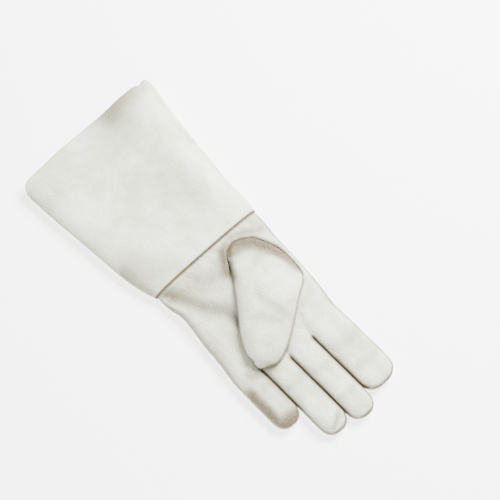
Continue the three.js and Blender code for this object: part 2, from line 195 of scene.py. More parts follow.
THUMB_SECTIONS = {
    "along": [
        -0.046, -0.03, 0.004, 0.055, 0.094, 0.129, 0.193, 0.252, 0.326, 0.41,
        0.534, 0.658, 0.776, 0.863, 0.917, 0.957, 0.985, 1.0, 1.01,
    ],
    "wrist": [
        0.5, 0.74, 0.97, 1.07, 1.11, 1.09, 1.02, 0.96, 0.87, 0.8,
        0.71, 0.62, 0.53, 0.42, 0.33, 0.22, 0.09, 0.06, -0.01,
    ],
    "finger": [
        -0.42, -0.19, 0.15, 0.45, 0.6, 0.73, 0.91, 1.01, 1.01, 0.95,
        0.91, 0.86, 0.8, 0.73, 0.66, 0.57, 0.46, 0.33, 0.22,
    ],
    "rise": [
        0.03, 0.03, 0.06, 0.14, 0.24, 0.34, 0.52, 0.68, 0.82, 0.92,
        0.98, 1.0, 0.95, 0.86, 0.76, 0.64, 0.5, 0.37, 0.26,
    ],
}

def fold(path, spread, rise, painted_shade):
    """A dent or swell of the upper leather along a path of (along, across) points, and how much painted shade
    it gets, where a negative amount is a painted highlight.
    """
    return {"path": path, "spread": spread, "rise": rise, "painted_shade": painted_shade}


# In the fold tables below, the last amount of each fold is painted shade in its valley, hollow or crease; a
# negative amount on a swell, crest or lit lobe is a painted highlight.
PALM_FOLDS = {
    "valley": fold([(2, -56), (22, -46), (38, -39), (54, -28), (70, -22)], spread=7, rise=-3.2, painted_shade=0.38),
    "hollow": fold([(8, -48), (15, -31), (20, -14), (19, 2)], spread=10, rise=-1.8, painted_shade=0.24),
    "heel": fold([(20, -59), (38, -54), (62, -50), (94, -54)], spread=8, rise=1.8, painted_shade=-0.09),
    "thumb_wedge": fold([(12, 15), (19, 9), (29, 1)], spread=7.5, rise=-0.8, painted_shade=0.6),
    "wrist_shade": fold([(5, 26), (10, 38), (17, 50)], spread=5, rise=-0.9, painted_shade=0.34),
    "tuck": fold([(5, 49), (12, 52), (19, 54)], spread=3.0, rise=-1.2, painted_shade=0.1),
    "mount": fold([(96, 34), (100, 8), (97, -22)], spread=9, rise=0.8, painted_shade=0),
    "palm_line": fold([(84, 54), (94, 36), (99, 20)], spread=4, rise=-0.9, painted_shade=0.12),
    "fork_pucker": fold([(104, 20), (122, 16)], spread=2.8, rise=-1.0, painted_shade=0.16),
    "fork_pucker_middle": fold([(100, -12), (121, -12)], spread=2.6, rise=-1.0, painted_shade=0.16),
    "thumb_side": fold([(112, -52), (118, -44), (122, -30)], spread=5, rise=-0.6, painted_shade=0.24),
    "wrist_pull": fold([(2, -30), (12, -26)], spread=4, rise=-0.8, painted_shade=0.1),
    "wrist_pull_thumb": fold([(2, 4), (10, 8)], spread=3.5, rise=-0.7, painted_shade=0.1),
}
FINGER_FOLDS = {
    "index_joint": fold([(146, 50), (149, 36), (147, 21)], spread=4, rise=-0.7, painted_shade=0.12),
    "index_far_joint": fold([(172, 50), (174, 34), (172, 22)], spread=3.4, rise=-0.5, painted_shade=0.1),
    "middle_joint": fold([(150, 14), (152, 2), (150, -9)], spread=3.6, rise=-0.8, painted_shade=0.12),
    "middle_far_joint": fold([(181, 14), (183, 2), (181, -9)], spread=3.4, rise=-0.6, painted_shade=0.14),
    "ring_joint": fold([(143, -13), (146, -24), (144, -36)], spread=3.6, rise=-0.8, painted_shade=0.12),
    "ring_far_joint": fold([(188, -14), (193, -22), (197, -30)], spread=2.2, rise=-0.7, painted_shade=0.3),
    "little_joint": fold([(128, -40), (131, -52), (129, -63)], spread=3.4, rise=-0.6, painted_shade=0.12),
    "index_light": fold([(124, 30), (176, 29)], spread=8, rise=0.3, painted_shade=-0.08),
    "middle_light": fold([(126, -1), (182, -2)], spread=7, rise=0.3, painted_shade=-0.08),
    "ring_light": fold([(124, -28), (180, -28)], spread=6, rise=0.3, painted_shade=-0.08),
    "little_far_joint": fold([(150, -41), (152, -52), (150, -62)], spread=3, rise=-0.5, painted_shade=0.1),
}
CUFF_FOLDS = {
    "middle": fold([(-30, 12), (-90, 14), (-140, 6)], spread=34, rise=-1.4, painted_shade=0.03),
    "hem_dip": fold([(-164, 26), (-170, 40), (-171, 56)], spread=14, rise=-1.8, painted_shade=0.42),
    "hem_light": fold([(-164, -30), (-160, -66)], spread=16, rise=0, painted_shade=-0.08),
    "hem_shade": fold([(-150, 30), (-158, 44)], spread=20, rise=-0.8, painted_shade=0.1),
    "fold_crest": fold([(-150, 62), (-90, 56), (-10, 52)], spread=9, rise=0.4, painted_shade=-0.08),
    "wrist_roll": fold([(-4, -64), (-18, -67), (-36, -68)], spread=6, rise=-1.8, painted_shade=0.3),
    "seam_side_swell": fold([(-60, -48), (-150, -58)], spread=22, rise=0.8, painted_shade=-0.07),
    "wrist_shade": fold([(-16, -50), (-40, -56)], spread=14, rise=0, painted_shade=0.16),
    "hem_ripple": fold([(-170, -28), (-150, -22), (-120, -20)], spread=13, rise=0.8, painted_shade=0),
}
THUMB_FOLDS = {
    "wedge": fold([(12, 14), (20, 9), (31, 2), (38, -3)], spread=3.2, rise=-1.0, painted_shade=0.6),
    "ball_swell": fold([(66, 26), (78, 28)], spread=10, rise=0.8, painted_shade=-0.06),
    "crease": fold([(66, 0), (80, 2), (96, 6)], spread=5, rise=-1.1, painted_shade=0.16),
    "second_crease": fold([(82, -14), (90, -8), (98, -2)], spread=4.5, rise=-0.7, painted_shade=0.14),
    "root_crease": fold([(32, 34), (40, 24), (44, 12)], spread=4, rise=-0.6, painted_shade=0.08),
    "tip_swell": fold([(92, -26), (104, -34)], spread=9, rise=0.8, painted_shade=-0.08),
}


def smooth_step(low, high, at):
    t = np.clip((at - low) / (high - low), 0, 1)
    return t * t * (3 - 2 * t)


def bell(distance, spread, power=2):
    """1 at no distance, and falling to almost 0 at twice the spread."""
    return np.exp(-((distance / spread) ** power))


def table_value(table, name, at):
    """The value of a table's column between its stations, on a smooth curve through them."""
    stations = np.array(table["along"])
    values = np.array(table[name])
    slopes = np.gradient(values, stations)
    i = int(np.clip(np.searchsorted(stations, at) - 1, 0, len(stations) - 2))
    gap = stations[i + 1] - stations[i]
    t = float(np.clip((at - stations[i]) / gap, 0, 1))
    return (
        (1 + 2 * t) * (1 - t) ** 2 * values[i]
        + t * (1 - t) ** 2 * gap * slopes[i]
        + t * t * (3 - 2 * t) * values[i + 1]
        - t * t * (1 - t) * gap * slopes[i + 1]
    )


def path_distance(path, points):
    """How far points lie from a path of straight runs, seen from above."""
    nearest = np.full(len(points), np.inf)
    for start, end in zip(path, path[1:]):
        start = np.array(start, float)
        run = np.array(end, float) - start
        share = np.clip(((points[:, :2] - start) @ run) / max(run @ run, 1e-9), 0, 1)
        away = points[:, :2] - start - share[:, None] * run
        nearest = np.minimum(nearest, np.hypot(away[:, 0], away[:, 1]))
    return nearest


def fold_sum(folds, column, points):
    """What a table of folds adds up to at each point, such as how far it lifts the leather."""
    total = np.zeros(len(points))
    for row in folds.values():
        total += row[column] * bell(path_distance(row["path"], points), row["spread"])
    return total


def ripples(points, size, seed):
    """Smooth irregular waves of about a given size, from -1 to 1."""
    offset = Vector((seed, 2.7 * seed, 0))
    return np.array([noise.noise(Vector(point) / size + offset) for point in points])


def section(low, high, bottom, edge, top, crown, sides, start=math.pi):
    """Evenly spaced (across, up) points round a cross-section, the first and the last at one edge."""
    angle = start - np.linspace(0, 2 * math.pi, 8 * sides + 1)
    across = np.cos(angle)
    up = np.sin(angle)
    power = 2 / np.where(up < 0, UNDERSIDE, crown)
    y = (low + high) / 2 + (high - low) / 2 * np.sign(across) * np.abs(across) ** power
    z = edge + np.sign(up) * np.abs(up) ** power * np.where(up < 0, edge - bottom, top - edge)
    travelled = np.concatenate([[0], np.cumsum(np.hypot(np.diff(y), np.diff(z)))])
    even = np.linspace(0, travelled[-1], sides + 1)
    return np.column_stack([np.interp(even, travelled, y), np.interp(even, travelled, z)])


def wrapped_grid(rows, closed):
    """A grid laid over rows of points. Closed, its long edges are joined and its ends filled."""
    along = len(rows) - 1
    sides = len(rows[0]) - 1
    bm = bmesh.new()
    bmesh.ops.create_grid(bm, x_segments=along, y_segments=sides, size=0.5)
    for vert in bm.verts:
        row = round((vert.co.x + 0.5) * along)
        column = round((vert.co.y + 0.5) * sides)
        vert.co = rows[row][column]
    if closed:
        bmesh.ops.remove_doubles(bm, verts=bm.verts, dist=1e-3)
        bmesh.ops.holes_fill(bm, edges=[edge for edge in bm.edges if edge.is_boundary], sides=0)
    bmesh.ops.recalc_face_normals(bm, faces=bm.faces)
    return bm


def set_painted_shade(bm, crease):
    """Keeps how much painted shade each point gets with the point, also while faces are cut away."""
    layer = bm.verts.layers.float.new("crease")
    for vert, value in zip(bm.verts, crease):
        vert[layer] = value


def points_of(bm):
    return np.array([vert.co for vert in bm.verts])


def normals_of(bm):
    bm.normal_update()
    return np.array([vert.normal for vert in bm.verts])


def move_points(bm, points):
    for vert, point in zip(bm.verts, points):
        vert.co = point


def fused(bodies, voxel):
    """One closed skin round overlapping bodies."""
    together = bmesh.new()
    for body in bodies:
        mesh = bpy.data.meshes.new("body")
        body.to_mesh(mesh)
        body.free()
        together.from_mesh(mesh)
        bpy.data.meshes.remove(mesh)
    mesh = bpy.data.meshes.new("fused")
    together.to_mesh(mesh)
    together.free()
    obj = bpy.data.objects.new("fused", mesh)
    bpy.context.collection.objects.link(obj)
    remesh = obj.modifiers.new("skin", "REMESH")
    remesh.mode = "VOXEL"
    remesh.voxel_size = voxel
    skin = bpy.data.meshes.new_from_object(obj.evaluated_get(bpy.context.evaluated_depsgraph_get()))
    bpy.data.objects.remove(obj)
    bpy.data.meshes.remove(mesh)
    bm = bmesh.new()
    bm.from_mesh(skin)
    bpy.data.meshes.remove(skin)
    return bm


def cut(bm, place, normal, wanted=lambda centre: True, clear=False):
    """Cuts the faces whose centres are wanted along a plane, and clears what lies past it if asked."""
    faces = [face for face in bm.faces if wanted(face.calc_center_median())]
    edges = {edge for face in faces for edge in face.edges}
    verts = {vert for face in faces for vert in face.verts}
    bmesh.ops.bisect_plane(
        bm,
        geom=[*verts, *edges, *faces],
        dist=1e-4,
        plane_co=place,
        plane_no=normal,
        clear_outer=clear,
    )


def edge_run(path, step=SAMPLE_STEP):
    """Samples along a path of points."""
    samples = []
    for start, end in zip(path, path[1:]):
        count = max(1, math.ceil((end - start).length / step))
        samples += [start.lerp(end, i / count) for i in range(count)]
    return samples


def smoothed(bm, rounds):
    axes = {"use_axis_x": True, "use_axis_y": True, "use_axis_z": True}
    for _ in range(rounds):
        bmesh.ops.smooth_vert(bm, verts=bm.verts, factor=0.5, **axes)


def seam_profile(distance, points, seed):
    """How far the leather stands out beside a seam: a groove, a soft welt and small puckers."""
    groove = -SEAM_DEPTH * bell(distance, SEAM_SPREAD)
    welt = SEAM_WELT * bell(distance - WELT_PLACE, WELT_SPREAD)
    pucker = PUCKER * ripples(points, PUCKER_SIZE, seed) * bell(distance, PUCKER_SPREAD)
    return groove + welt + pucker


def distance_to(samples, points, reach):
    """How far each point is from the nearest of the samples, with reach where there is none within it."""
    tree = KDTree(len(samples))
    for i, sample in enumerate(samples):
        tree.insert(sample, i)
    tree.balance()
    found = [tree.find(point)[2] for point in points]
    return np.minimum(np.array(found), reach)


def edge_samples(edges, step=SAMPLE_STEP):
    samples = []
    for edge in edges:
        start, end = (vert.co for vert in edge.verts)
        count = max(1, math.ceil(edge.calc_length() / step))
        samples += [start.lerp(end, i / count) for i in range(count + 1)]
    return samples


# Where each finger lies across the hand
fingers = []
knuckle_width = sum(row["width"] for row in FINGER_SHARES) * FINGER_WIDTH + FINGER_GAP * 3
edge_across = KNUCKLE_OFFSET + knuckle_width / 2
for place, row in enumerate(FINGER_SHARES):
    width = row["width"] * FINGER_WIDTH
    fingers.append(
        {
            "name": row["name"],
            "width": width,
            "height": row["height"] * FINGER_HEIGHT,
            "reach": PALM_LENGTH + row["reach"] * FINGER_LENGTH,
            "fork": row["fork"] * PALM_LENGTH,
            "high": edge_across,
            "low": edge_across - width,
            "centre": edge_across - width / 2,
            "shift": (1.5 - place) * SPREAD_APART,
        }
    )
    edge_across -= width + FINGER_GAP

# While the hand's skin is made, the fingers stand further apart, so that they don't fuse.
SPREAD_FROM = 62
SPREAD_TO = 96
finger_edges = [(finger[side], finger["shift"]) for finger in reversed(fingers) for side in ("low", "high")]


def spread_fingers(x, y):
    return y + smooth_step(SPREAD_FROM, SPREAD_TO, x) * np.interp(y, *zip(*finger_edges))


def close_fingers(points):
    x, y = points[:, 0], points[:, 1]
    ramp = smooth_step(SPREAD_FROM, SPREAD_TO, x)
    closed = y - ramp * finger_edges[0][1]
    for (edge, shift), (next_edge, next_shift) in zip(finger_edges, finger_edges[1:]):
        start = edge + ramp * shift
        share = np.clip((y - start) / (next_edge + ramp * next_shift - start), 0, 1)
        closed = np.where(y > start, edge + share * (next_edge - edge), closed)
    last_edge, last_shift = finger_edges[-1]
    closed = np.where(y > last_edge + ramp * last_shift, y - ramp * last_shift, closed)
    return np.column_stack([x, closed, points[:, 2]])


def palm_row(x, low_limit):
    """The palm's section at a distance from the wrist seam. Under the cuff it is narrow enough to fit."""
    along = max(x, 0) / PALM_LENGTH
    lapped = CUFF_WALL + SEAM_GAP
    wrist_half = WRIST_WIDTH / 2 - lapped
    out = smooth_step(-1, 7, x)
    index_half = wrist_half + (knuckle_width / 2 + KNUCKLE_OFFSET + KNUCKLE_SPREAD - wrist_half) * along
    little_half = wrist_half + (knuckle_width / 2 - KNUCKLE_OFFSET + KNUCKLE_SPREAD - wrist_half) * along
    wrist_top = CUFF_HEIGHT * CUFF_SECTIONS["height"][0] - lapped
    top = PALM_HEIGHT * table_value(PALM_SECTIONS, "height", along)
    low = -little_half * table_value(PALM_SECTIONS, "little", along)
    across_up = section(
        low=max(low, low_limit),
        high=index_half * table_value(PALM_SECTIONS, "index", along),
        bottom=lapped + out * (POINT_RISE - lapped),
        edge=CUFF_EDGE_HEIGHT + out * (SEAM_HEIGHT - CUFF_EDGE_HEIGHT),
        top=wrist_top + out * (top - wrist_top),
        crown=PALM_CROWN,
        sides=BODY_SIDES,
    )
    return [Vector((x, spread_fingers(x, y), z)) for y, z in across_up]


def palm_body(start, end, low_limit):
    return wrapped_grid([palm_row(x, low_limit) for x in np.linspace(start, end, 50)], closed=True)


def finger_body(finger):
    """One finger, from inside the palm to its round tip."""
    fork, tip = finger["fork"], finger["reach"]
    straight_end = tip - FINGER_TIP
    stations = [(fork - FINGER_ROOT, FINGER_ROOT_SHARE)]
    stations += [(x, 1.0) for x in np.linspace(fork, straight_end, 40)]
    for turn in np.linspace(0.04, 1, 24) * math.pi / 2:
        reached = math.sin(turn)
        share = max(1 - reached**TIP_ROUNDNESS, 0.002) ** (1 / TIP_ROUNDNESS)
        stations.append((straight_end + reached * FINGER_TIP, share))
    rows = []
    for x, share in stations:
        half = finger["width"] / 2 * share
        across_up = section(
            low=-half,
            high=half,
            bottom=SEAM_HEIGHT * (1 - share),
            edge=SEAM_HEIGHT,
            top=SEAM_HEIGHT + (finger["height"] - SEAM_HEIGHT) * share,
            crown=FINGER_CROWN,
            sides=BODY_SIDES,
        )
        centre = finger["centre"] + finger["shift"] * smooth_step(SPREAD_FROM, SPREAD_TO, x)
        rows.append([Vector((x, centre + y, z)) for y, z in across_up])
    return wrapped_grid(rows, closed=True)


def strip_planes(finger, next_finger):
    """Where a strip between two fingers starts and ends, and its upper and lower edges there."""
    start = finger["fork"] - HAND_WALL - STRIP_CROTCH
    end = max(finger["reach"], next_finger["reach"])
    middle = SEAM_HEIGHT + STRIP_LIFT
    return start, end, middle, STRIP_HEIGHT / 2, STRIP_TIP_HEIGHT / 2


def strip_edge_height(finger, next_finger, x, side):
    start, end, middle, tall, short = strip_planes(finger, next_finger)
    return middle + side * (tall + (short - tall) * (x - start) / (end - start))


def piece_at(centre):
    """The name of the leather piece that a place on the hand's skin belongs to."""
    for finger, next_finger in zip(fingers, fingers[1:]):
        start = strip_planes(finger, next_finger)[0]
        if centre.x > start and next_finger["centre"] < centre.y < finger["centre"]:
            if strip_edge_height(finger, next_finger, centre.x, -1) < centre.z < strip_edge_height(
                finger, next_finger, centre.x, 1
            ):
                return f"fourchette_{finger['name']}_{next_finger['name']}"
    return "palm_panel" if centre.z > SEAM_HEIGHT else "back_panel"


def point_paths():
    """The three stitched tucks on the back, from near the wrist to the forks."""
    paths = []
    for place, finger in enumerate(fingers[:3]):
        start = (POINT_START, POINT_SPACING * (1 - place) + KNUCKLE_OFFSET / 2)
        end = (min(finger["fork"], PALM_LENGTH) - POINT_TO_FORK, finger["low"] - FINGER_GAP / 2)
        paths.append([start, end])
    return paths


def hand_skin():
    """The whole hand's outer skin, cut along its seams."""
    _, long_finger, ring, little = fingers
    bodies = [
        palm_body(-CUFF_LAP - 4, little["fork"], low_limit=-1000),
        palm_body(60, long_finger["fork"], low_limit=ring["low"]),
    ]
    bodies += [finger_body(finger) for finger in fingers]
    bm = fused(bodies, HAND_VOXEL)
    smoothed(bm, SMOOTHING)
    points = close_fingers(points_of(bm))
    move_points(bm, points)
    cut(bm, (-CUFF_LAP, 0, 0), (-1, 0, 0), clear=True)
    cut(bm, (0, 0, SEAM_HEIGHT), (0, 0, 1))
    for finger, next_finger in zip(fingers, fingers[1:]):
        start, end, middle, tall, short = strip_planes(finger, next_finger)
        slope = (short - tall) / (end - start)

        def beside_strip(centre, start=start, low=next_finger["centre"], high=finger["centre"]):
            return centre.x > start - 3 and low < centre.y < high

        for side in (1, -1):
            cut(bm, (start, 0, middle + side * tall), (-side * slope, 0, 1), beside_strip)
        cut(bm, (start, 0, 0), (1, 0, 0), beside_strip)
    return bm


def between_fingers(points):
    """How much painted shade falls beside and in the gaps between the fingers, and how much the leather waves
    there.
    """
    painted_gap_shade = np.zeros(len(points))
    calm = np.ones(len(points))
    for finger, next_finger in zip(fingers, fingers[1:]):
        start = strip_planes(finger, next_finger)[0]
        side = points[:, 1] - (finger["low"] - FINGER_GAP / 2)
        line = 0.9 * bell(side, 1.1)
        shade = 0.34 * bell(side + 2.2, 2.2) + 0.1 * bell(side - 2, 1.6)
        deep = 0.85 * smooth_step(10.8, 8.3, points[:, 2]) * smooth_step(4.5, 3, np.abs(side))
        gap = np.maximum(np.maximum(line, deep), shade)
        painted_gap_shade = np.maximum(painted_gap_shade, gap * smooth_step(start - 3, start + 5, points[:, 0]))
        first = min(finger["fork"], next_finger["fork"])
        near = smooth_step(6, 3, np.abs(side)) * smooth_step(first - 6, first - 2, points[:, 0])
        calm = np.minimum(calm, 1 - near)
    return painted_gap_shade, calm


def shape_hand(bm):
    """Lifts and presses the folds, tucks and seams into the skin. Returns how much painted shade each point
    gets, with the dark seam lines.
    """
    points = points_of(bm)
    normals = normals_of(bm)
    bm.faces.index_update()
    names = [piece_at(face.calc_center_median()) for face in bm.faces]
    seams = [edge for edge in bm.edges if len({names[face.index] for face in edge.link_faces}) > 1]
    seam_distance = distance_to(edge_samples(seams), points, FAR)
    upper = [edge for edge in seams if edge.verts[0].co.z > SEAM_HEIGHT + 0.5]
    upper_distance = distance_to(edge_samples(upper), points, FAR)
    strong = 1 - 0.75 * bell(upper_distance - seam_distance, 0.4)
    clear_of_lap = smooth_step(0, 8, points[:, 0])
    topward = smooth_step(SEAM_HEIGHT, 12, points[:, 2])
    folds = {**PALM_FOLDS, **FINGER_FOLDS}
    lift = fold_sum(folds, "rise", points)
    from_root = path_distance(root_arc(), points)
    lift += RIM_RISE * bell(from_root - RIM_OUTSIDE, RIM_SPREAD)
    upper_side = smooth_step(4, 6, points[:, 2])
    gap_shade, calm = between_fingers(points)
    # Painted shade on the hand's steep walls, stronger on the side towards the fingertips and the index
    # finger.
    outer_side = smooth_step(-0.1, 0.4, normals[:, 0] * 0.7 + normals[:, 1] * 0.7)
    steep = smooth_step(0.58 + 0.3 * outer_side, 0.3 + 0.3 * outer_side, normals[:, 2])
    steep *= 1 - outer_side * smooth_step(0.4, 0.15, normals[:, 2])
    edge_painted_shade = NEAR_EDGE_PAINTED_SHADE + (FAR_EDGE_PAINTED_SHADE - NEAR_EDGE_PAINTED_SHADE) * outer_side
    above_edge = points[:, 2] - SEAM_HEIGHT
    rim = np.where(above_edge > 0, bell(above_edge, 4.2, 4), bell(above_edge, 2.2))
    # Painted shade on the little finger's rolled outer side, on its tip and along its inner side.
    little = fingers[-1]
    outward = smooth_step(little["centre"] - 1, little["low"] + 4, points[:, 1])
    at_tip = smooth_step(little["reach"] - 20, little["reach"] - 4, points[:, 0])
    inward = smooth_step(little["centre"] + 4, little["high"] - 3, points[:, 1])
    beside = (points[:, 1] < little["high"] + FINGER_GAP / 2) * smooth_step(112, 128, points[:, 0])
    little_painted_shade = np.maximum.reduce([0.7 * outward, 0.82 * at_tip, 0.4 * inward])
    # The painted shade: an even base that fold highlights lighten, the folds' painted shade, dark seam lines
    # with shade in their grooves, shade in the finger gaps, on steep walls and rims, at the wrist seam and
    # under the cuff's edge, and on the little finger's shaded side.
    crease = np.maximum.reduce(
        [
            PAINTED_SHADE_BASE + fold_sum(folds, "painted_shade", points) * topward,
            SEAM_DARK_AND_SHADE * strong * bell(seam_distance, 0.8),
            gap_shade * upper_side,
            edge_painted_shade * steep * upper_side * clear_of_lap,
            RIM_PAINTED_SHADE * rim,
            WRIST_SEAM_DARK_AND_SHADE * bell(points[:, 0] - 0.6, 1.3),
            0.22 * bell(points[:, 0] - 0.5, 5),
            little_painted_shade * beside * upper_side,
        ]
    )
    points[:, 2] += lift * topward * clear_of_lap
    waves = 0.55 * ripples(points, 26, 3) + 0.32 * ripples(points, 11, 7) + 0.14 * ripples(points, 5, 11)
    away_from_rest = smooth_step(1.5, 5, points[:, 2]) * calm
    push = (waves * away_from_rest + seam_profile(seam_distance, points, 17) * strong) * clear_of_lap
    points += normals * push[:, None]
    tuck = np.zeros(len(points))
    for path in point_paths():
        tuck += bell(path_distance(path, points), POINT_WIDTH / 2, 4)
    points[:, 2] -= POINT_RISE * tuck * (normals[:, 2] < -0.7)
    points[:, 2] = np.maximum(points[:, 2], 0)
    points[:, 1] -= LEAN * smooth_step(LEAN_FROM, LEAN_TO, points[:, 0])
    move_points(bm, points)
    return names, np.clip(crease, 0, 1)


def thumb_along():
    return Vector((math.cos(THUMB_ANGLE), math.sin(THUMB_ANGLE), 0))


def thumb_place(distance, across):
    """Where a distance along the thumb and one across it are on the hand."""
    along = thumb_along()
    side = Vector((-along.y, along.x, 0))
    return THUMB_ROOT + along * distance + side * across


def thumb_stations():
    """Distances along the thumb, closer together at its root and its tip."""
    even = np.linspace(0, 1, THUMB_ROWS)
    eased = (1 - np.cos(math.pi * even)) / 2
    first, last = THUMB_SECTIONS["along"][0], THUMB_SECTIONS["along"][-1]
    return first + (last - first) * (0.6 * eased + 0.4 * even)


def thumb_outline(gap):
    """The thumb root's outline on the palm with a gap round it, which ends under the folded thumb."""
    half = THUMB_WIDTH / 2
    first = THUMB_SECTIONS["along"][0]
    wrist_side = []
    finger_side = []
    for share in np.linspace(first, (THUMB_HINGE - 4) / THUMB_LENGTH, 60):
        distance = share * THUMB_LENGTH - (gap if share == first else 0)
        grow = gap - (gap + HOLE_TUCK) * smooth_step(THUMB_HINGE - 12, THUMB_HINGE - 4, distance)
        wrist_side.append(thumb_place(distance, -half * table_value(THUMB_SECTIONS, "wrist", share) - grow))
        finger_side.append(thumb_place(distance, half * table_value(THUMB_SECTIONS, "finger", share) + grow))
    return [*reversed(wrist_side), *finger_side]


def root_arc():
    """The curved part of the thumb root's seam, where the palm rises in a soft rim."""
    first = THUMB_SECTIONS["along"][0]
    shares = np.linspace(first, ROOT_LENGTH / THUMB_LENGTH, 40)
    sides = [("wrist", -THUMB_WIDTH / 2, share) for share in shares[20::-1]]
    sides += [("finger", THUMB_WIDTH / 2, share) for share in shares]
    return [
        thumb_place(share * THUMB_LENGTH, half * table_value(THUMB_SECTIONS, side, share)).xy
        for side, half, share in sides
    ]


def root_wrist_side():
    """The thumb root's edge on the wrist side, where the thumb folds over."""
    shares = np.linspace(WEDGE_START / THUMB_LENGTH, THUMB_HINGE / THUMB_LENGTH, 20)
    return [
        thumb_place(share * THUMB_LENGTH, -THUMB_WIDTH / 2 * table_value(THUMB_SECTIONS, "wrist", share)).xy
        for share in shares
    ]


def inside_outline(outline, point):
    """Whether a point is inside a closed outline, seen from above."""
    inside = False
    for a, b in zip(outline, [*outline[1:], outline[0]]):
        if (a.y > point.y) != (b.y > point.y):
            if point.x < a.x + (point.y - a.y) / (b.y - a.y) * (b.x - a.x):
                inside = not inside
    return inside


def nearest_on(outline, point):
    """The nearest place on a closed outline, seen from above."""
    best = None
    for a, b in zip(outline, [*outline[1:], outline[0]]):
        run = b - a
        share = min(max((point - a).dot(run) / max(run.length_squared, 1e-9), 0), 1)
        place = a + run * share
        if best is None or (place - point).length < (best - point).length:
            best = place
    return best


def open_thumb_hole(bm):
    """Takes the palm away inside the thumb's root, rolls the hole's rim downwards, and paints shade round the
    rim, along the thumb's free edges and beside its folded wrist side.
    """
    outline = thumb_outline(ROOT_GAP)
    low_x = min(place.x for place in outline)
    low_y = min(place.y for place in outline)
    high_x = max(place.x for place in outline)
    high_y = max(place.y for place in outline)

    def above(vector):
        return vector.z > SEAM_HEIGHT and low_x < vector.x < high_x and low_y < vector.y < high_y

    inner = []
    for face in bm.faces:
        centre = face.calc_center_median()
        if above(centre) and inside_outline(outline, centre.xy.to_3d()):
            inner.append(face)
    bmesh.ops.delete(bm, geom=inner, context="FACES")
    rim = []
    for vert in bm.verts:
        near = low_x - 3 < vert.co.x < high_x + 3 and low_y - 3 < vert.co.y < high_y + 3
        if vert.is_boundary and near and vert.co.z > SEAM_HEIGHT + 3:
            place = nearest_on(outline, vert.co.xy.to_3d())
            vert.co.x, vert.co.y = place.xy
            rim.append(vert.co.copy())
    points = points_of(bm)
    distance = distance_to(rim, points, FAR)
    above_seam = points[:, 2] > SEAM_HEIGHT + 2
    points[:, 2] -= 1.5 * bell(distance, 1.5) * above_seam
    move_points(bm, points)
    painted_shade = 0.95 * bell(distance, 1.2)
    for side, strength in (("wrist", 0.15), ("finger", 0.6)):
        contact = distance_to(edge_run(free_edge(side)), points * [1, 1, 0], FAR)
        painted_shade = np.maximum(painted_shade, strength * bell(contact, 1.3))
    from_wedge = path_distance(root_wrist_side(), points)
    painted_shade = np.maximum(painted_shade, 0.3 * bell(from_wedge, 4.5))
    layer = bm.verts.layers.float["crease"]
    for vert, value in zip(bm.verts, painted_shade * above_seam):
        vert[layer] = max(vert[layer], value)


def free_edge(side):
    """The edge of the folded thumb beyond its root, from above."""
    half = THUMB_WIDTH / 2 * (1 if side == "finger" else -1)
    shares = np.linspace(ROOT_LENGTH / THUMB_LENGTH, THUMB_SECTIONS["along"][-1], 60)
    return [
        thumb_place(share * THUMB_LENGTH, half * table_value(THUMB_SECTIONS, side, share)) for share in shares
    ]


def root_share(distance):
    """How much a place along the thumb belongs to its root, which goes down into the palm."""
    return 1 - smooth_step(THUMB_HINGE - 16, THUMB_HINGE - 6, distance)


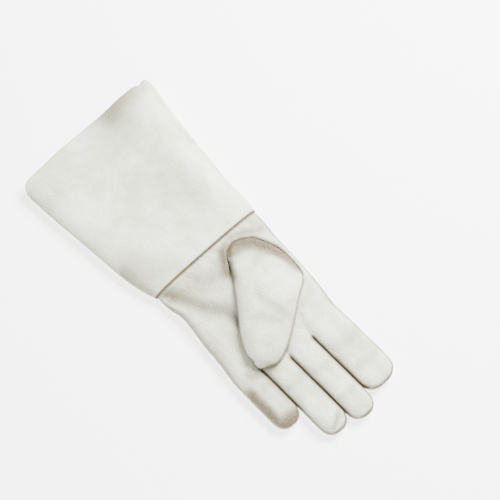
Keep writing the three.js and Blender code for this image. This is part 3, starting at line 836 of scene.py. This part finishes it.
def make_thumb(bed):
    """The hollow thumb, whose underside lies on the bed and whose root goes down into the palm."""
    half = THUMB_WIDTH / 2
    rows = []
    for share in thumb_stations():
        distance = share * THUMB_LENGTH
        rise = THUMB_HEIGHT * table_value(THUMB_SECTIONS, "rise", share)
        in_root = root_share(distance)
        edge = THUMB_EDGE * (1 - in_root) - ROOT_EDGE_DROP * in_root
        across_up = section(
            low=-half * table_value(THUMB_SECTIONS, "wrist", share),
            high=half * table_value(THUMB_SECTIONS, "finger", share),
            bottom=THUMB_CLEARANCE - in_root * (THUMB_ROOT_DEPTH + THUMB_CLEARANCE),
            edge=edge,
            top=max(rise, edge + 0.5),
            crown=THUMB_CROWN,
            sides=THUMB_SIDES,
            start=0,
        )
        rows.append([thumb_place(distance, across) + Vector((0, 0, up)) for across, up in across_up])
    end = sum(rows[-1], Vector()) / len(rows[-1])
    tip = end + thumb_along() * TIP_CAP
    last_row = rows[-1]
    for share, turn in ((0.87, 0.5), (0.5, 0.87), (0, 1)):
        rows.append([end.lerp(tip, turn) + (point - end) * share for point in last_row])
    bm = wrapped_grid(rows, closed=True)
    points = points_of(bm)
    free_rows = [row for row in rows if root_share((row[0] - THUMB_ROOT).dot(thumb_along())) < 0.8]
    seam = [row[-1 - THUMB_SEAM_UP] for row in free_rows]
    seam_distance = distance_to(edge_run(seam), points, FAR)
    upward = smooth_step(2, 9, points[:, 2])
    at_fingers = smooth_step(95, 105, points[:, 0])
    lowest = BED_LOWEST + (BED_LOWEST_AT_FINGERS - BED_LOWEST) * at_fingers
    for i, (x, y, up) in enumerate(points):
        hit = bed.ray_cast(Vector((x, y, 100)), Vector((0, 0, -1)))[0]
        base = max(hit.z, lowest[i]) if hit else PALM_HEIGHT
        points[i, 2] = up + base + (PALM_HEIGHT - base) * upward[i]
    move_points(bm, points)
    smoothed(bm, 3)
    points = points_of(bm)
    normals = normals_of(bm)
    from_end = np.hypot(*(points[:, :2] - np.array(end.xy)).T)
    calm = smooth_step(1, 6, from_end)
    topward = smooth_step(0.0, 0.6, normals[:, 2])
    lift = fold_sum(THUMB_FOLDS, "rise", points)
    from_root = path_distance(root_arc(), points)
    along = (points - THUMB_ROOT) @ np.array(thumb_along())
    dip = bell(from_root - ROOT_DIP_INSIDE, ROOT_DIP_SPREAD) * smooth_step(26, 10, along)
    waves = 0.45 * ripples(points, 22, 31) + 0.25 * ripples(points, 9, 37) + 0.12 * ripples(points, 4.5, 41)
    points[:, 2] += (lift - ROOT_DIP * dip) * topward
    points += normals * ((waves * topward + seam_profile(seam_distance, points, 43)) * calm)[:, None]
    move_points(bm, points)
    # Painted shade: the thumb's folds and their highlights, its dark seam line with shade, its dark root seam
    # and fold, its steep edges, and the bowl inside its root.
    bowl = bell(from_root, 15 - 8 * smooth_step(2, 22, along))
    crease = np.maximum.reduce(
        [
            PAINTED_SHADE_BASE + fold_sum(THUMB_FOLDS, "painted_shade", points) * topward,
            THUMB_SEAM_DARK_AND_SHADE * bell(seam_distance, 0.8),
            ROOT_SEAM_DARK_AND_SHADE * bell(from_root, 1.4),
            ROOT_SEAM_DARK_AND_SHADE * bell(path_distance(root_wrist_side(), points), 1.1),
            THUMB_EDGE_PAINTED_SHADE * smooth_step(0.42, 0.2, normals[:, 2]),
            BOWL_PAINTED_SHADE * bowl * smooth_step(ROOT_LENGTH + 8, ROOT_LENGTH - 4, along),
        ]
    )
    set_painted_shade(bm, np.clip(crease, 0, 1))
    wall_share = 0.35 + 0.65 * smooth_step(4, 12, from_end)
    under = []
    for face in bm.faces:
        distance = (face.calc_center_median() - THUMB_ROOT).dot(thumb_along())
        if distance < THUMB_HINGE - 10 and face.normal.z < -0.7:
            under.append(face)
    thin = bm.verts.layers.float.new("wall share")
    for vert, share in zip(bm.verts, wall_share):
        vert[thin] = share
    bmesh.ops.delete(bm, geom=under, context="FACES")
    return bm, [vert[thin] for vert in bm.verts]


def cuff_row_half(along):
    return WRIST_WIDTH / 2 + (HEM_WIDTH - WRIST_WIDTH) / 2 * along


def hem_at(y, z, low, high):
    """How far along the hem is at a place across. Its corners are round, and its upper layer has a dip."""
    straight = -CUFF_LENGTH - HEM_SLANT * y / HEM_WIDTH
    if z > CUFF_EDGE_HEIGHT:
        straight += HEM_NOTCH * math.exp(-(((y - HEM_NOTCH_ACROSS) / HEM_NOTCH_SPREAD) ** 2))
    for side, corner in ((y - low, SEAM_SIDE_CORNER), (high - y, FOLD_SIDE_CORNER)):
        if side < corner:
            straight += corner * (1 - math.sqrt(max(1 - (1 - max(side, 0) / corner) ** 2, 0)))
    return straight


def make_cuff():
    """The cuff: one piece wrapped round, from its seam over the top and back underneath."""
    hem_low = -cuff_row_half(1) * table_value(CUFF_SECTIONS, "seam", 1)
    hem_high = cuff_row_half(1) * table_value(CUFF_SECTIONS, "fold", 1)
    sections = {}

    def cuff_section(along):
        half = cuff_row_half(along)
        return section(
            low=-half * table_value(CUFF_SECTIONS, "seam", along),
            high=half * table_value(CUFF_SECTIONS, "fold", along),
            bottom=0,
            edge=CUFF_EDGE_HEIGHT,
            top=CUFF_HEIGHT * table_value(CUFF_SECTIONS, "height", along),
            crown=CUFF_CROWN,
            sides=CUFF_SIDES,
        )

    hem = cuff_section(1)
    hem_x = [hem_at(y, z, hem_low, hem_high) for y, z in hem]
    rows = []
    for share in np.linspace(0, 1, CUFF_ROWS):
        row = []
        for column in range(CUFF_SIDES + 1):
            x = SEAM_GAP + share * (hem_x[column] - SEAM_GAP)
            along = round(-x / CUFF_LENGTH, 3)
            if along not in sections:
                sections[along] = cuff_section(max(along, 0))
            y, z = sections[along][column]
            half = cuff_row_half(max(along, 0))
            topward = min(max((z - CUFF_EDGE_HEIGHT) / (CUFF_HEIGHT - CUFF_EDGE_HEIGHT), 0), 1)
            crest = table_value(CUFF_SECTIONS, "crest", max(along, 0))
            crest *= CUFF_CREST * math.exp(-(((y / half - CREST_PLACE) / CREST_SPREAD) ** 2))
            row.append(Vector((x, y, z + crest * topward)))
        rows.append(row)
    bm = wrapped_grid(rows, closed=False)
    points = points_of(bm)
    normals = normals_of(bm)
    if (normals[:, 2] * (points[:, 2] - CUFF_EDGE_HEIGHT)).sum() < 0:
        bmesh.ops.reverse_faces(bm, faces=bm.faces)
        normals = normals_of(bm)
    topward = smooth_step(CUFF_EDGE_HEIGHT, CUFF_HEIGHT * 0.8, points[:, 2])
    from_wrist = -points[:, 0]
    clear_of_wrist = smooth_step(2, 30, from_wrist)
    waves = 0.7 * ripples(points, 48, 51) + 0.3 * ripples(points, 20, 57)
    lift = fold_sum(CUFF_FOLDS, "rise", points)
    edge_distance = distance_to(edge_samples([edge for edge in bm.edges if edge.is_boundary]), points, 40)
    hem_distance = distance_to(edge_run(rows[-1]), points, 40)
    wrist_distance = np.abs(points[:, 0] - SEAM_GAP)
    near_edge = smooth_step(CUFF_EDGE_HEIGHT - 2, CUFF_EDGE_HEIGHT + 2, points[:, 2])
    at_seam_side = smooth_step(0, -40, points[:, 1])
    # Painted shade: the cuff's folds and their highlights, the dark wrist seam, shade beside it and along the
    # edges, and the cuff's lower side beside its seam.
    crease = np.maximum.reduce(
        [
            PAINTED_SHADE_BASE + fold_sum(CUFF_FOLDS, "painted_shade", points) * near_edge,
            WRIST_SEAM_DARK_AND_SHADE * bell(wrist_distance, 1.0),
            0.18 * bell(wrist_distance, 4),
            0.3 * bell(edge_distance, 0.8),
            0.4 * at_seam_side * bell(points[:, 2] - CUFF_EDGE_HEIGHT, 3.4, 4),
        ]
    )
    stitch_line = 0.3 * bell(wrist_distance - 3.0, 0.8)
    hem_line = 0.1 * bell(hem_distance - HEM_TURN, 1.2)
    edge_roll = 0.5 * bell(edge_distance, 0.8)
    points[:, 2] += lift * clear_of_wrist * topward
    points += normals * (waves * clear_of_wrist * topward - stitch_line - hem_line - edge_roll)[:, None]
    points[:, 2] = np.maximum(points[:, 2], 0)
    move_points(bm, points)
    turned = smooth_step(HEM_TURN + 0.8, HEM_TURN - 0.8, hem_distance)
    return bm, np.clip(crease, 0, 1), turned


def object_in_frame(name, bm):
    """A smooth object made of a bmesh in millimetres, set into the frame."""
    mesh = bpy.data.meshes.new(name)
    bm.to_mesh(mesh)
    bm.free()
    mesh.transform(Matrix.Scale(MILLIMETRE, 4) @ Matrix.Translation(WRIST_SEAM))
    mesh.polygons.foreach_set("use_smooth", np.ones(len(mesh.polygons), bool))
    obj = bpy.data.objects.new(name, mesh)
    bpy.context.collection.objects.link(obj)
    return obj


def piece_object(name, bm, wall, inner_share=None):
    """A finished leather piece with its wall, which is thinner where the inner share says so."""
    obj = object_in_frame(name, bm)
    solidify = obj.modifiers.new("wall", "SOLIDIFY")
    solidify.offset = -1
    solidify.thickness = wall * MILLIMETRE
    solidify.use_rim = True
    if inner_share is not None:
        group = obj.vertex_groups.new(name="wall")
        for i, weight in enumerate(inner_share):
            group.add([i], float(weight), "REPLACE")
        solidify.vertex_group = "wall"
    return obj


def panel_from(bm, names, crease, wanted):
    """A copy of the skin that keeps one piece's faces, with the painted shade of its points."""
    panel = bm.copy()
    set_painted_shade(panel, crease)
    others = [face for face, name in zip(panel.faces, names) if name != wanted]
    bmesh.ops.delete(panel, geom=others, context="FACES")
    return panel


def stitch_mesh(name, places, length, width):
    """A row of small stitches, each at (place, direction, normal)."""
    bm = bmesh.new()
    for place, direction, normal in places:
        side = normal.cross(direction).normalized()
        turn = Matrix((direction, side, normal)).transposed().to_4x4()
        size = Matrix.Diagonal((length / 2, width / 2, width / 2, 1))
        bmesh.ops.create_uvsphere(
            bm, u_segments=6, v_segments=5, radius=1, matrix=Matrix.Translation(place) @ turn @ size
        )
    return object_in_frame(name, bm)


def stitches_along(surface, path, pitch, lift):
    """Stitch places on a surface along a path, spaced by pitch, each a little above the leather."""
    places = []
    travelled = 0.0
    due = pitch / 2
    for start, end in zip(path, path[1:]):
        run = end - start
        length = run.length
        while due <= travelled + length:
            place = start + run * ((due - travelled) / length)
            hit, normal, _, _ = surface.find_nearest(place)
            direction = (run - normal * run.dot(normal)).normalized()
            places.append((hit + normal * lift, direction, normal))
            due += pitch
        travelled += length
    return places


def node_group(name, inputs, outputs):
    """An empty shader node group with named inputs and outputs."""
    group = bpy.data.node_groups.new(name, "ShaderNodeTree")
    for socket, kind in inputs:
        group.interface.new_socket(name=socket, in_out="INPUT", socket_type=kind)
    for socket, kind in outputs:
        group.interface.new_socket(name=socket, in_out="OUTPUT", socket_type=kind)
    return group, group.nodes.new("NodeGroupInput"), group.nodes.new("NodeGroupOutput")


def math_node(tree, operation, first, second):
    node = tree.nodes.new("ShaderNodeMath")
    node.operation = operation
    for i, value in enumerate((first, second)):
        if hasattr(value, "is_output"):
            tree.links.new(value, node.inputs[i])
        else:
            node.inputs[i].default_value = value
    return node.outputs[0]


def noise_node(tree, vector, scale, detail=2.0, roughness=0.5):
    node = tree.nodes.new("ShaderNodeTexNoise")
    tree.links.new(vector, node.inputs["Vector"])
    node.inputs["Scale"].default_value = scale
    node.inputs["Detail"].default_value = detail
    node.inputs["Roughness"].default_value = roughness
    return node.outputs[0]


def grain_group():
    """The pebbled grain of soft leather as a height, with fine pores and short wrinkles."""
    group, start, end = node_group(
        "leather grain",
        [("Vector", "NodeSocketVector"), ("Wrinkle", "NodeSocketFloat")],
        [("Height", "NodeSocketFloat")],
    )
    cells = group.nodes.new("ShaderNodeTexVoronoi")
    cells.feature = "SMOOTH_F1"
    cells.inputs["Scale"].default_value = 650
    cells.inputs["Smoothness"].default_value = 0.4
    group.links.new(start.outputs["Vector"], cells.inputs["Vector"])
    pores = noise_node(group, start.outputs["Vector"], 2200, 2)
    wrinkles = noise_node(group, start.outputs["Vector"], 260, 3, 0.6)
    grain = math_node(group, "ADD", cells.outputs["Distance"], math_node(group, "MULTIPLY", pores, 0.35))
    wrinkle = math_node(group, "MULTIPLY", wrinkles, start.outputs["Wrinkle"])
    group.links.new(math_node(group, "ADD", grain, wrinkle), end.inputs["Height"])
    return group


def mix_colour(tree, factor, first, second):
    node = tree.nodes.new("ShaderNodeMix")
    node.data_type = "RGBA"
    tree.links.new(factor, node.inputs["Factor"])
    for socket, value in ((node.inputs["A"], first), (node.inputs["B"], second)):
        if hasattr(value, "is_output"):
            tree.links.new(value, socket)
        else:
            socket.default_value = value
    return node.outputs["Result"]


def tone_group():
    """The uneven white of dressed leather, mixed at random between two tones, with painted shade laid over it
    where its points say.
    """
    group, start, end = node_group(
        "leather tone",
        [
            ("Vector", "NodeSocketVector"),
            ("Light", "NodeSocketColor"),
            ("Shade", "NodeSocketColor"),
            ("Painted shade colour", "NodeSocketColor"),
            ("Painted shade", "NodeSocketFloat"),
        ],
        [("Color", "NodeSocketColor"), ("Roughness", "NodeSocketFloat")],
    )
    clouds = noise_node(group, start.outputs["Vector"], 24, 3, 0.6)
    patches = noise_node(group, start.outputs["Vector"], 110, 3, 0.6)
    clouds = math_node(group, "MULTIPLY", clouds, 0.65)
    patches = math_node(group, "MULTIPLY", patches, 0.35)
    blend = math_node(group, "ADD", clouds, patches)
    spread = group.nodes.new("ShaderNodeMapRange")
    spread.inputs["From Min"].default_value = 0.38
    spread.inputs["From Max"].default_value = 0.62
    group.links.new(blend, spread.inputs["Value"])
    colour = mix_colour(group, spread.outputs["Result"], start.outputs["Light"], start.outputs["Shade"])
    unshaded = math_node(group, "SUBTRACT", 1.0, start.outputs["Painted shade"])
    shaded = math_node(group, "SUBTRACT", 1.0, math_node(group, "MULTIPLY", unshaded, unshaded))
    colour = mix_colour(group, shaded, colour, start.outputs["Painted shade colour"])
    group.links.new(colour, end.inputs["Color"])
    rough = math_node(group, "ADD", math_node(group, "MULTIPLY", spread.outputs["Result"], 0.12), 0.46)
    group.links.new(rough, end.inputs["Roughness"])
    return group


grain = grain_group()
tone = tone_group()


def leather(name, light, shade, painted_shade, wrinkle, depth):
    """Satin white leather with its grain, uneven tone and painted shade, with the dark seam lines, from its
    points.
    """
    material = bpy.data.materials.new(name)
    material.use_nodes = True
    tree = material.node_tree
    shader = tree.nodes["Principled BSDF"]
    place = tree.nodes.new("ShaderNodeTexCoord").outputs["Object"]
    # The crease attribute holds each point's painted shade and dark seam lines, and is lower where highlights
    # are painted.
    shade_attribute = tree.nodes.new("ShaderNodeAttribute")
    shade_attribute.attribute_name = "crease"
    colour = tree.nodes.new("ShaderNodeGroup")
    colour.node_tree = tone
    tree.links.new(place, colour.inputs["Vector"])
    tree.links.new(shade_attribute.outputs["Fac"], colour.inputs["Painted shade"])
    for socket, value in (("Light", light), ("Shade", shade), ("Painted shade colour", painted_shade)):
        colour.inputs[socket].default_value = (*value, 1)
    tree.links.new(colour.outputs["Color"], shader.inputs["Base Color"])
    tree.links.new(colour.outputs["Roughness"], shader.inputs["Roughness"])
    height = tree.nodes.new("ShaderNodeGroup")
    height.node_tree = grain
    tree.links.new(place, height.inputs["Vector"])
    height.inputs["Wrinkle"].default_value = wrinkle
    bump = tree.nodes.new("ShaderNodeBump")
    bump.inputs["Strength"].default_value = 0.7
    bump.inputs["Distance"].default_value = depth * MILLIMETRE
    tree.links.new(height.outputs["Height"], bump.inputs["Height"])
    tree.links.new(bump.outputs["Normal"], shader.inputs["Normal"])
    shader.inputs["Specular IOR Level"].default_value = 0.5
    shader.inputs["Sheen Weight"].default_value = 0.08
    return material


def thread():
    material = bpy.data.materials.new("sewing thread")
    material.use_nodes = True
    tree = material.node_tree
    shader = tree.nodes["Principled BSDF"]
    place = tree.nodes.new("ShaderNodeTexCoord").outputs["Object"]
    twist = noise_node(tree, place, 1800, 1)
    colour = mix_colour(tree, twist, (0.62, 0.61, 0.54, 1), (0.8, 0.79, 0.73, 1))
    tree.links.new(colour, shader.inputs["Base Color"])
    shader.inputs["Roughness"].default_value = 0.6
    return material


hand_leather = leather(
    name="soft hand leather",
    light=(0.84, 0.88, 0.7),
    shade=(0.58, 0.61, 0.45),
    painted_shade=(0.1, 0.072, 0.032),
    wrinkle=1.6,
    depth=0.55,
)
# The strips between the fingers: a darker copy of the hand leather, painted shade for their place deep
# between the fingers.
strip_leather = leather(
    name="shaded strip leather",
    light=(0.76, 0.79, 0.62),
    shade=(0.52, 0.54, 0.4),
    painted_shade=(0.09, 0.065, 0.03),
    wrinkle=1.6,
    depth=0.55,
)
cuff_leather = leather(
    name="smooth cuff leather",
    light=(0.87, 0.91, 0.73),
    shade=(0.62, 0.65, 0.48),
    painted_shade=(0.11, 0.08, 0.035),
    wrinkle=0.9,
    depth=0.42,
)
thread_material = thread()


def finish(obj, material, slot, *nodes):
    """Gives a finished piece its leather and its place in the frame."""
    obj.data.materials.clear()
    obj.data.materials.append(material)
    if nodes:
        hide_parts(*nodes)
    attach(obj, "root")


# Hand: one skin, then its pieces
skin = hand_skin()
names, skin_painted_shade = shape_hand(skin)
bed = BVHTree.FromBMesh(skin)
strip_names = [f"fourchette_{a['name']}_{b['name']}" for a, b in zip(fingers, fingers[1:])]
for name in strip_names:
    strip = panel_from(skin, names, skin_painted_shade, name)
    finish(piece_object(f"{name}_leather", strip, HAND_WALL), strip_leather, "strip_leather", name)
back = panel_from(skin, names, skin_painted_shade, "back_panel")
back_surface = BVHTree.FromBMesh(back)
finish(piece_object("back_panel_leather", back, HAND_WALL), hand_leather, "hand_leather", "back_panel")
palm = panel_from(skin, names, skin_painted_shade, "palm_panel")
open_thumb_hole(palm)
finish(piece_object("palm_panel_leather", palm, HAND_WALL), hand_leather, "hand_leather", "palm_panel")

# Thumb
thumb, thumb_wall = make_thumb(bed)
finish(piece_object("thumb_leather", thumb, HAND_WALL, thumb_wall), hand_leather, "hand_leather", "thumb")

# Cuff
cuff, cuff_painted_shade, turned = make_cuff()
set_painted_shade(cuff, cuff_painted_shade)
cuff_surface = BVHTree.FromBMesh(cuff)
cuff_wall = CUFF_WALL / HEM_WALL + turned * (1 - CUFF_WALL / HEM_WALL)
cuff_obj = piece_object("gauntlet_cuff_leather", cuff, HEM_WALL, cuff_wall)
finish(cuff_obj, cuff_leather, "cuff_leather", "gauntlet_cuff")

# Stitches of the wrist seam and of the points on the back
WRIST_STITCH_INSET = 3.0
wrist_path = [
    Vector((SEAM_GAP - WRIST_STITCH_INSET, y, z))
    for y, z in section(
        low=-WRIST_WIDTH / 2,
        high=WRIST_WIDTH / 2,
        bottom=0,
        edge=CUFF_EDGE_HEIGHT,
        top=CUFF_HEIGHT * CUFF_SECTIONS["height"][0],
        crown=CUFF_CROWN,
        sides=160,
    )
]
wrist_places = stitches_along(cuff_surface, wrist_path, pitch=2.6, lift=0.05)
wrist_stitches = stitch_mesh("wrist_seam_stitches", wrist_places, length=1.8, width=0.55)
finish(wrist_stitches, thread_material, "cuff_leather")
point_places = []
for path in point_paths():
    for offset in (-1, 1):
        beside = [Vector((x, y + offset * POINT_WIDTH * 0.62, 0)) for x, y in path]
        point_places += stitches_along(back_surface, beside, pitch=2.4, lift=0.02)
point_stitches = stitch_mesh("point_stitches", point_places, length=1.6, width=0.45)
finish(point_stitches, thread_material, "hand_leather")


def area_light(name, place, size, power):
    light = bpy.data.lights.new(name, "AREA")
    light.shape = "DISK"
    light.size = size
    light.energy = power
    obj = bpy.data.objects.new(name, light)
    obj.location = place
    obj.rotation_euler = (-Vector(place)).to_track_quat("-Z", "Y").to_euler()
    bpy.context.collection.objects.link(obj)


def make_floor():
    bm = bmesh.new()
    bmesh.ops.create_grid(bm, x_segments=1, y_segments=1, size=3)
    mesh = bpy.data.meshes.new("floor")
    bm.to_mesh(mesh)
    bm.free()
    obj = bpy.data.objects.new("floor", mesh)
    bpy.context.collection.objects.link(obj)
    material = bpy.data.materials.new("pale floor")
    material.use_nodes = True
    shader = material.node_tree.nodes["Principled BSDF"]
    shader.inputs["Base Color"].default_value = (0.97, 0.97, 0.965, 1)
    shader.inputs["Roughness"].default_value = 0.9
    shader.inputs["Emission Color"].default_value = (1, 1, 1, 1)
    shader.inputs["Emission Strength"].default_value = 2.4
    mesh.materials.append(material)


CAMERA_AZIMUTH = math.radians(46.4)
CAMERA_ELEVATION = math.radians(68)
CAMERA_DISTANCE = 1.5
CAMERA_AIM = Vector((0.0045, 0.03083, 0.008))
camera = bpy.data.cameras.new("camera")
camera.lens = 118.8
camera.sensor_width = 36
camera_obj = bpy.data.objects.new("camera", camera)
bpy.context.collection.objects.link(camera_obj)
backwards = Vector(
    (
        math.sin(CAMERA_AZIMUTH) * math.cos(CAMERA_ELEVATION),
        -math.cos(CAMERA_AZIMUTH) * math.cos(CAMERA_ELEVATION),
        math.sin(CAMERA_ELEVATION),
    )
)
camera_obj.location = CAMERA_AIM + backwards * CAMERA_DISTANCE
camera_obj.rotation_euler = backwards.to_track_quat("Z", "Y").to_euler()
bpy.context.scene.camera = camera_obj

make_floor()
area_light("window", place=(-0.1, 1.0, 1.15), size=0.9, power=120)
area_light("fill", place=(0.7, -1.0, 1.4), size=1.4, power=30)
world = bpy.data.worlds.new("studio")
world.use_nodes = True
world.node_tree.nodes["Background"].inputs["Color"].default_value = (1, 1, 1, 1)
world.node_tree.nodes["Background"].inputs["Strength"].default_value = 0.5
bpy.context.scene.world = world
